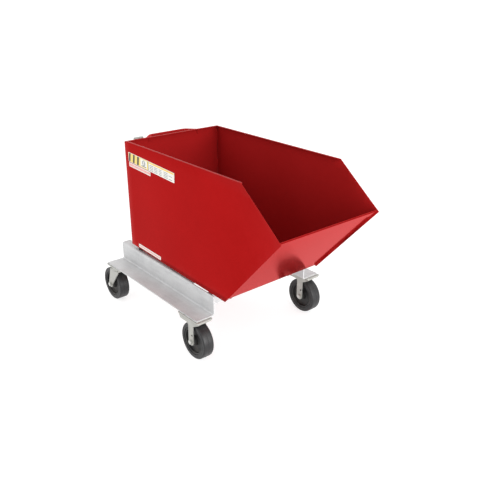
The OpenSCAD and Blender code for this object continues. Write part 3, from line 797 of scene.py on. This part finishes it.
def turned(profile, centre, segments=96):
    """A solid of revolution about a y axis through centre, from closed (radius, y) points."""
    bm = bmesh.new()
    rings = [[bm.verts.new(centre + Vector((r * math.cos(a), y, r * math.sin(a))))
              for r, y in profile]
             for a in (2 * math.pi * k / segments for k in range(segments))]
    count = len(profile)
    for near, far in zip(rings, rings[1:] + rings[:1]):
        for k in range(count):
            bm.faces.new((near[k], near[(k + 1) % count], far[(k + 1) % count], far[k]))
    bmesh.ops.recalc_face_normals(bm, faces=bm.faces)
    return bm


def corner_arc(centre_r, centre_y, radius, start, end, steps=7):
    """Points of a quarter round in a profile, angles in degrees from the radius to +y."""
    return [(centre_r + radius * math.cos(math.radians(start + (end - start) * i / steps)),
             centre_y + radius * math.sin(math.radians(start + (end - start) * i / steps)))
            for i in range(steps + 1)]


def mirrored(half_profile):
    """A profile with its other half added, from points that start and end near y = 0."""
    return half_profile + [(r, -y) for r, y in reversed(half_profile)]


def tyre_profile(outer_r, inner_r, half):
    """Tread with a mould line and a slight crown, round shoulders, and a stepped side wall."""
    shoulder = 0.006
    line = 0.0007
    step = 0.0008
    crown = [(outer_r, 0.0006), (outer_r - line, 0.0014), (outer_r - 0.0005, 0.006)]
    wall = [(outer_r - 0.0085, half - 0.0002), (outer_r - 0.0092, half - step),
            (inner_r + 0.0042, half - step), (inner_r + 0.0036, half - 0.0002),
            (inner_r + 0.0008, half - 0.0002), (inner_r, half - 0.001)]
    return mirrored(crown + corner_arc(outer_r - shoulder - 0.0004, half - shoulder, shoulder, 8, 90)
                    + wall)


def centre_profile(rim_r, bore_r, rim_half, hub_half):
    """Rim ring, dished web and hub, with a moulding round wherever two of them meet."""
    web = 0.009
    rim_in = rim_r - 0.008
    hub_r = bore_r + 0.011
    blend_r = 0.005
    turns = [math.radians(15 * i) for i in range(7)]
    return mirrored(
        [(rim_r, rim_half - 0.001), (rim_r - 0.001, rim_half), (rim_in + 0.001, rim_half),
         (rim_in, rim_half - 0.001), (rim_in, web + blend_r)]
        + [(rim_in - blend_r + blend_r * math.cos(a), web + blend_r - blend_r * math.sin(a))
           for a in turns[1:]]
        + [(hub_r + blend_r - blend_r * math.sin(a), web + blend_r - blend_r * math.cos(a))
           for a in turns]
        + [(hub_r, hub_half - 0.001), (hub_r - 0.001, hub_half), (bore_r + 0.0012, hub_half),
           (bore_r, hub_half - 0.0012)])


sleeve_wall = 0.004
for label in ("right", "left"):
    for end in ("front", "rear"):
        tyre, core = f"{label}_{end}_tyre", f"{label}_{end}_core"
        (tyre_low, tyre_high), (core_low, core_high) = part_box(tyre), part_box(core)
        centre = (tyre_low + tyre_high) / 2
        rim_r = (core_high.z - core_low.z) / 2
        half = (tyre_high.y - tyre_low.y) / 2
        bore_r = axle_r + sleeve_wall
        tread = turned(tyre_profile((tyre_high.z - tyre_low.z) / 2, rim_r, half), centre)
        fit(finish_mesh(f"{label}_{end}_tread", tread, tread_material),
            f"{label}_{end}_wheel", "dark_tyre", tyre)
        hub = turned(
            centre_profile(rim_r, bore_r, half - 0.003, (core_high.y - core_low.y) / 2), centre)
        fit(finish_mesh(f"{label}_{end}_centre", hub, centre_material),
            f"{label}_{end}_wheel", "dark_core", core)


# ---- Small metal pieces that keep their plain turned shape ----
# Pins, sleeves, bushes and balls are simple turned parts. They keep their own solids and only
# take the finish of what they are made of: plated steel, bronze or bearing steel.

def make_plain_metal(name, dark, light, rough_low, rough_high):
    material, tree, shader = surface(name, Metallic=1.0)
    cloud = use(tree, mottle, Scale=80.0, Fine_Scale=500.0, Fine_Share=0.5)
    feed(tree, shader, Base_Color=blended(tree, cloud, dark, light),
         Roughness=ranged(tree, cloud, rough_low, rough_high))
    bumped(tree, shader, cloud, 0.0002, 0.2)
    return material


bronze = make_plain_metal("turned_bronze", (0.45, 0.27, 0.1), (0.66, 0.45, 0.2), 0.25, 0.45)
ball_steel = make_plain_metal("ball_steel", (0.6, 0.6, 0.6), (0.8, 0.8, 0.8), 0.08, 0.18)


def coat(material, *names):
    """Gives CAD nodes that keep their own shape their finish."""
    for name in names:
        nodes[name].data.materials.clear()
        nodes[name].data.materials.append(material)


coat(bright_steel, "hinge_pins", "hinge_cotters", "bumper_screws", "latch_pin", "king_pins",
     "king_pin_nuts", "front_axle_sleeves", "right_rear_axle_sleeve", "left_rear_axle_sleeve")
coat(bronze, "hinge_bushes")
coat(ball_steel, "right_rear_balls", "left_rear_balls")


# ---- Rest bumpers ----
# Two short tapered buffers of moulded black rubber, each with a rim at its foot and held down
# on the cap of its rail by one screw. The hopper's floor sits on them.

def make_rubber():
    material, tree, shader = surface("bumper_rubber", Specular_IOR_Level=0.3)
    cloud = use(tree, mottle, Scale=50.0, Fine_Scale=350.0, Fine_Share=0.5)
    dark = blended(tree, cloud, (0.012, 0.012, 0.012), (0.035, 0.035, 0.034))
    feed(tree, shader, Base_Color=dark, Roughness=ranged(tree, cloud, 0.65, 0.9))
    bumped(tree, shader, cloud, 0.0004, 0.4)
    return material


softened("rest_bumpers", make_rubber(), "frame", "black_rubber", 0.0012, 3)


# ---- Latch ----
# A flat zinc-plated bar that pivots on a pin in the bracket on the back panel, with a round grip
# bar across its top, a toe at its foot and a torsion spring round the pin.

softened("latch_bar", zinc, "latch", "zinc_plate", 0.0009)
softened("latch_grip", zinc, "latch", "zinc_plate", 0.0008)

spring_low, spring_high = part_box("latch_spring")
pin_low, pin_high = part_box("latch_pin")
wire_r = 0.0012
coil_r = (spring_high.x - spring_low.x) / 2 - wire_r
pivot = Vector(((pin_low.x + pin_high.x) / 2, 0, (pin_low.z + pin_high.z) / 2))
coil_turns = 4
coil_start = spring_low.y + wire_r
coil_end = spring_high.y - wire_r
coil_steps = 24 * coil_turns
coil = [Vector((pivot.x + coil_r, coil_start, spring_high.z))]
for i in range(coil_steps + 1):
    a = 2 * math.pi * (coil_turns - 0.5) * i / coil_steps
    coil.append(Vector((pivot.x + coil_r * math.cos(a),
                        coil_start + (coil_end - coil_start) * i / coil_steps,
                        pivot.z + coil_r * math.sin(a))))
coil.append(Vector((pivot.x - coil_r, coil_end, spring_low.z)))
bm = bmesh.new()
tube(bm, coil, wire_r, 8)
bmesh.ops.recalc_face_normals(bm, faces=bm.faces)
spring_wire = make_plain_metal("spring_wire", (0.4, 0.4, 0.4), (0.58, 0.58, 0.57), 0.3, 0.5)
fit(finish_mesh("torsion_spring", bm, spring_wire), "hopper", "spring_wire", "latch_spring")


# ---- Weld beads ----
# Short stitch welds hold the sheets, ears, caster plates and channels. Each is a row of small
# overlapping beads. Those on the hopper are under the red coat, those on the frame are bare.

def make_bead_tree():
    """Beads along a path: resampled, one squashed ball at each point turned along the path."""
    tree = bpy.data.node_groups.new("weld_bead", "GeometryNodeTree")
    sockets = tree.interface
    for label, kind, value in (
            ("Path", "NodeSocketGeometry", None), ("Radius", "NodeSocketFloat", 0.002),
            ("Spacing", "NodeSocketFloat", 0.002), ("Seed", "NodeSocketInt", 3),
            ("Finish", "NodeSocketMaterial", None)):
        socket = sockets.new_socket(label, in_out="INPUT", socket_type=kind)
        if value is not None:
            socket.default_value = value
    sockets.new_socket("Beads", in_out="OUTPUT", socket_type="NodeSocketGeometry")
    given = tree.nodes.new("NodeGroupInput")
    result = tree.nodes.new("NodeGroupOutput")
    path = add(tree, "GeometryNodeMeshToCurve", {"Mesh": given.outputs["Path"]})
    points = add(tree, "GeometryNodeResampleCurve",
                 {"Curve": path.outputs[0], "Length": given.outputs["Spacing"]}, mode="LENGTH")
    turn = add(tree, "FunctionNodeAlignRotationToVector",
               {"Vector": add(tree, "GeometryNodeInputTangent").outputs[0]}, axis="Z")
    size = add(tree, "FunctionNodeRandomValue",
               {2: 0.86, 3: 1.12, "Seed": given.outputs["Seed"]})
    radius = add(tree, "ShaderNodeMath", {0: given.outputs["Radius"], 1: size.outputs[1]},
                 operation="MULTIPLY")
    ball = add(tree, "GeometryNodeMeshUVSphere",
               {"Segments": 8, "Rings": 5, "Radius": 1.0})
    scale = add(tree, "ShaderNodeCombineXYZ",
                {"X": radius.outputs[0], "Y": radius.outputs[0], "Z": given.outputs["Spacing"]})
    beads = add(tree, "GeometryNodeInstanceOnPoints",
                {"Points": points.outputs[0], "Instance": ball.outputs[0],
                 "Rotation": turn.outputs[0], "Scale": scale.outputs[0]})
    real = add(tree, "GeometryNodeRealizeInstances", {0: beads.outputs[0]})
    smooth = add(tree, "GeometryNodeSetShadeSmooth", {"Geometry": real.outputs[0]})
    done = add(tree, "GeometryNodeSetMaterial",
               {"Geometry": smooth.outputs[0], "Material": given.outputs["Finish"]})
    tree.links.new(done.outputs[0], result.inputs[0])
    return tree


bead_tree = make_bead_tree()


def stitches(start, end, length, gap):
    """Short stretches spread evenly along a seam, a stitch at each end."""
    whole = (end - start).length
    along = (end - start).normalized()
    count = max(1, round((whole + gap) / (length + gap)))
    room = (whole - length) / max(1, count - 1)
    return [(start + along * room * i, start + along * (room * i + min(length, whole)))
            for i in range(count)]


def beads(name, seams, radius, material, body, slot):
    """Weld beads along a list of (start, end) stretches, as one plain mesh on one body."""
    path = bpy.data.meshes.new(name)
    path.from_pydata([p for seam in seams for p in seam],
                     [(2 * i, 2 * i + 1) for i in range(len(seams))], [])
    piece = bpy.data.objects.new(name, path)
    bpy.context.scene.collection.objects.link(piece)
    bead_rows = piece.modifiers.new("beads", "NODES")
    bead_rows.node_group = bead_tree
    named = {item.name: item.identifier for item in bead_tree.interface.items_tree
             if item.in_out == "INPUT"}
    bead_rows[named["Radius"]] = radius
    bead_rows[named["Spacing"]] = radius * 1.05
    bead_rows[named["Finish"]] = material
    applied(piece)
    fit(piece, body, slot)


inner_y = sheet - 2 * seam_gap
floor_dir = (front_low - back_low).normalized()
floor_up = Vector((-floor_dir.z, 0, floor_dir.x))
floor_start = back_low + floor_up * sheet_t + floor_dir * (sheet_t + 0.001)
front_foot = furthest("front_panel", (0, 0, -1))
front_head = furthest("front_panel", (1, 0, 0))
front_dir = (front_head - front_foot).normalized()
front_in = Vector((-front_dir.z, 0, front_dir.x)) * sheet_t


def at_y(point, y):
    """A point moved sideways to y."""
    return Vector((point.x, y, point.z))


hopper_seams = []
for side in (-1, 1):
    y = side * inner_y
    hopper_seams += stitches(at_y(floor_start, y), at_y(front_foot + front_in, y), 0.04, 0.08)
    hopper_seams += stitches(
        Vector((back_low.x + sheet_t, y, back_low.z + 0.01)),
        Vector((back_low.x + sheet_t, y, rim_z - 0.03)), 0.04, 0.08)
    hopper_seams += stitches(
        at_y(front_foot + front_in + front_dir * 0.01, y),
        at_y(front_head + front_in - front_dir * 0.02, y), 0.04, 0.08)
    hopper_seams += stitches(
        at_y(front_foot + front_dir * 0.012, y), at_y(front_head - front_dir * 0.045, y),
        0.04, 0.08)
hopper_seams += stitches(at_y(floor_start, -inner_y + 0.02), at_y(floor_start, inner_y - 0.02),
                         0.04, 0.09)
hopper_seams += stitches(at_y(front_foot + front_in, -inner_y + 0.02),
                         at_y(front_foot + front_in, inner_y - 0.02), 0.04, 0.09)
beads("hopper_stitch_welds", hopper_seams, 0.002, powder_coat, "hopper", "red_powder_coat")

foot_rings = []
for side in (-1, 1):
    ring = [Vector((back_low.x - 0.0004, side * handle_foot_half
                    + (tube_r + 0.0012) * 1.12 * math.cos(a),
                    handle_z + (tube_r + 0.0003) * math.sin(a)))
            for a in (2 * math.pi * k / 24 for k in range(24))]
    foot_rings += [seam for seam in zip(ring, ring[1:] + ring[:1])
                   if max(p.z for p in seam) < rim_z - 0.002]
bracket_low, bracket_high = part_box("latch_bracket")
for z in (bracket_low.z, bracket_high.z):
    foot_rings += stitches(Vector((back_low.x, bracket_low.y + 0.004, z)),
                           Vector((back_low.x, bracket_high.y - 0.004, z)), 0.018, 0.02)
beads("handle_foot_welds", foot_rings, 0.0016, powder_coat, "hopper", "red_powder_coat")

frame_seams = []
plate_low, plate_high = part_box("front_caster_plates")
rear_low, rear_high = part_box("rear_caster_plates")
rail_low, rail_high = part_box("left_rail")
for side in (-1, 1):
    for low, high in ((plate_low, plate_high), (rear_low, rear_high)):
        frame_seams += stitches(
            Vector((max(low.x, rail_low.x) + 0.008, side * rail_high.y, plate_high.z)),
            Vector((min(high.x, rail_high.x) - 0.008, side * rail_high.y, plate_high.z)),
            0.024, 0.014)
    for member in ("front_cross_member", "rear_cross_member"):
        low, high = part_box(member)
        for x in (low.x, high.x):
            frame_seams += [(Vector((x, side * (high.y - 0.0004), low.z + 0.004)),
                             Vector((x, side * (high.y - 0.0004), high.z - 0.004)))]
for node in ("hinge_ears", "latch_keeper"):
    low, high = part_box(node)
    ys = sorted({round(v.co.y, 4) for v in nodes[node].data.vertices
                 if abs(v.co.x - low.x) < 1e-4})
    # each pair of plates is welded on its outer sides, clear of what swings between them
    frame_seams += [(Vector((low.x, y, low.z + 0.003)), Vector((low.x, y, high.z - 0.003)))
                    for y in ys[::4] + ys[3::4]]
beads("frame_stitch_welds", frame_seams, 0.0015, mill_steel, "frame", "mill_steel")


# ---- Labels ----
# Three printed film labels stuck on the right-hand side: a striped one with a notice panel, a
# narrow strip below it and one along the bottom edge. They carry plain bars and no lettering.

def make_print(name, colour, faded):
    material, tree, shader = surface(name, Specular_IOR_Level=0.45)
    cloud = use(tree, mottle, Scale=40.0, Fine_Scale=600.0, Fine_Share=0.5)
    ink = blended(tree, ranged(tree, cloud, 0, 1, 0.4, 0.75), colour, faded)
    feed(tree, shader, Base_Color=ink, Roughness=ranged(tree, cloud, 0.3, 0.5))
    bumped(tree, shader, cloud, 0.0002, 0.2)
    return material


label_white = make_print("label_white", (0.78, 0.77, 0.72), (0.66, 0.64, 0.58))
label_yellow = make_print("label_yellow", (0.78, 0.6, 0.1), (0.7, 0.58, 0.22))
label_dark = make_print("label_dark", (0.02, 0.017, 0.01), (0.05, 0.045, 0.03))
label_grey = make_print("label_grey", (0.2, 0.23, 0.24), (0.32, 0.35, 0.35))
label_orange = make_print("label_orange", (0.85, 0.42, 0.06), (0.8, 0.48, 0.16))
label_pink = make_print("label_pink", (0.72, 0.2, 0.18), (0.68, 0.3, 0.27))
label_slots = [label_white, label_yellow, label_dark, label_grey, label_orange, label_pink]
WHITE, YELLOW, DARK, GREY, ORANGE, PINK = range(6)
film = 0.00025
film_foot = 0.0006
ink_step = 0.00003


def bar(u0, v0, u1, v1):
    """A printed bar, from its lower left to its upper right corner."""
    return [(u0, v0), (u1, v0), (u1, v1), (u0, v1)]


def label(name, corner, size, tilt, marks):
    """A white film label with rounded corners and its marks, in its own (u, v) from lower left.

    corner is its upper left corner: metres from the back face, and metres under the rim."""
    width, height = size
    turn = math.radians(tilt)

    def placed_at(u, v, lift):
        v -= height
        return Vector((back_low.x + corner[0] + u * math.cos(turn) - v * math.sin(turn),
                       -(outer_y + lift),
                       rim_z - corner[1] + u * math.sin(turn) + v * math.cos(turn)))

    bm = bmesh.new()
    radius = 0.003
    outline = []
    for u, v, start in ((width - radius, height - radius, 0), (radius, height - radius, 90),
                        (radius, radius, 180), (width - radius, radius, 270)):
        outline += [(u + radius * math.cos(math.radians(start + 18 * i)),
                     v + radius * math.sin(math.radians(start + 18 * i))) for i in range(6)]
    top = [bm.verts.new(placed_at(u, v, film)) for u, v in outline]
    foot = [bm.verts.new(placed_at(u, v, -film_foot)) for u, v in outline]
    bm.faces.new(top)
    for k in range(len(top)):
        bm.faces.new((foot[k], foot[(k + 1) % len(top)], top[(k + 1) % len(top)], top[k]))
    bm.faces.new(list(reversed(foot)))
    for layer, mark_ink, shape in marks:
        face = bm.faces.new([bm.verts.new(placed_at(u, v, film + ink_step * layer))
                             for u, v in shape])
        face.material_index = mark_ink
    piece = finish_mesh(name, bm, label_slots[0])
    for material in label_slots[1:]:
        piece.data.materials.append(material)
    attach(piece, "hopper")


label_w, label_h = 0.356, 0.042
edge = 0.002
top = label_h - edge
stripe_w, slant = 0.014, 0.005
stripes = [(1, YELLOW, bar(edge, edge, 0.093, top))]
for i in range(3):
    u = 0.0015 + 0.0345 * i
    stripes.append((2, DARK, [(u, edge), (u + stripe_w, edge), (u + stripe_w + slant, top),
                              (u + slant, top)]))
notice = [
    (3, YELLOW, bar(0.093, edge, 0.16, top)),
    (4, WHITE, bar(0.1, 0.005, 0.153, label_h - 0.005)),
    (5, GREY, [(0.127 + 0.012 * math.cos(a), 0.023 + 0.012 * math.sin(a))
               for a in (math.pi * k / 10 for k in range(20))]),
    (6, WHITE, bar(0.123, 0.015, 0.131, 0.031)), (5, DARK, bar(0.108, 0.007, 0.146, 0.01)),
    (3, DARK, bar(0.16, edge, 0.164, top)),
    (1, YELLOW, bar(0.168, label_h - 0.009, label_w - 0.003, top)),
    (2, ORANGE, bar(0.2, label_h - 0.0065, label_w - 0.012, label_h - 0.0035))]
row_pitch, row_h = 0.0068, 0.0028
word_pitch, word_w = 0.036, 0.029
for row in range(4):
    for word in range(5 - row % 2):
        start = 0.172 + word_pitch * word
        low = 0.005 + row_pitch * row
        end = start + word_w - 0.004 * (word % 3)
        notice.append((1, GREY, bar(start, low, end, low + row_h)))
label("hazard_label", (0.028, 0.043), (label_w, label_h), -2.5, stripes + notice)


def row_of_marks(pitch, width, low, high):
    """Sixteen pink bars side by side."""
    return [(1, PINK, bar(0.005 + pitch * i, low, 0.005 + width + pitch * i, high))
            for i in range(16)]


label("strip_label", (0.030, 0.0883), (0.173, 0.018), -2.3,
      row_of_marks(0.0105, 0.0075, 0.004, 0.0145))
label("bottom_label", (0.063, rim_z - back_low.z - 0.0215), (0.184, 0.0165), -1.3,
      row_of_marks(0.0108, 0.0078, 0.0055, 0.0115))


# ---- Studio ----
# A pale floor that glows a little and sweeps up behind the cart, a bright even sky like a light
# tent, and two large soft lights: one low before the mouth, one high over the right-hand side.

def make_paper():
    material, tree, shader = surface(
        "pale_paper", Specular_IOR_Level=0.1, Roughness=0.9, Emission_Color=(1, 1, 1, 1),
        Emission_Strength=0.72)
    cloud = use(tree, mottle, Scale=1.2, Fine_Scale=9.0, Fine_Share=0.3)
    feed(tree, shader, Base_Color=blended(tree, cloud, (0.42, 0.42, 0.42), (0.46, 0.46, 0.46)))
    return material


def make_sweep():
    bm = bmesh.new()
    reach, turn_r, steps = 7.0, 2.5, 16
    profile = [(6.0, 0.0)]
    profile += [(-reach - turn_r * math.sin(a), turn_r - turn_r * math.cos(a))
                for a in (math.pi / 2 * i / steps for i in range(steps + 1))]
    profile.append((-reach - turn_r, 7.0))
    outward = Vector((math.sin(bearing), -math.cos(bearing), 0))
    across = Vector((outward.y, -outward.x, 0)) * 12
    rows = [[bm.verts.new(outward * d + across * s + Vector((0, 0, z))) for s in (-1, 1)]
            for d, z in profile]
    for near, far in zip(rows, rows[1:]):
        bm.faces.new((near[0], near[1], far[1], far[0]))
    bmesh.ops.recalc_face_normals(bm, faces=bm.faces)
    return finish_mesh("floor_sweep", bm, make_paper())


make_sweep()


def soft_light(name, place, target, width, power):
    data = bpy.data.lights.new(name, "AREA")
    data.shape = "SQUARE"
    data.size = width
    data.energy = power
    lamp = bpy.data.objects.new(name, data)
    lamp.location = place
    lamp.rotation_mode = "QUATERNION"
    lamp.rotation_quaternion = (Vector(place) - Vector(target)).to_track_quat("Z", "Y")
    bpy.context.scene.collection.objects.link(lamp)


middle = (cad_low + cad_high) / 2
soft_light("mouth_light", (3.4, 0.2, 0.7), middle, 2.2, 110)
soft_light("side_light", (-0.8, -3.2, 2.6), middle, 2.4, 12)
world = bpy.data.worlds.new("tent")
bpy.context.scene.world = world
world.use_nodes = True
sky = world.node_tree.nodes["Background"]
sky.inputs["Color"].default_value = (1, 1, 1, 1)
sky.inputs["Strength"].default_value = 1.1
bpy.context.scene.view_settings.view_transform = "Standard"
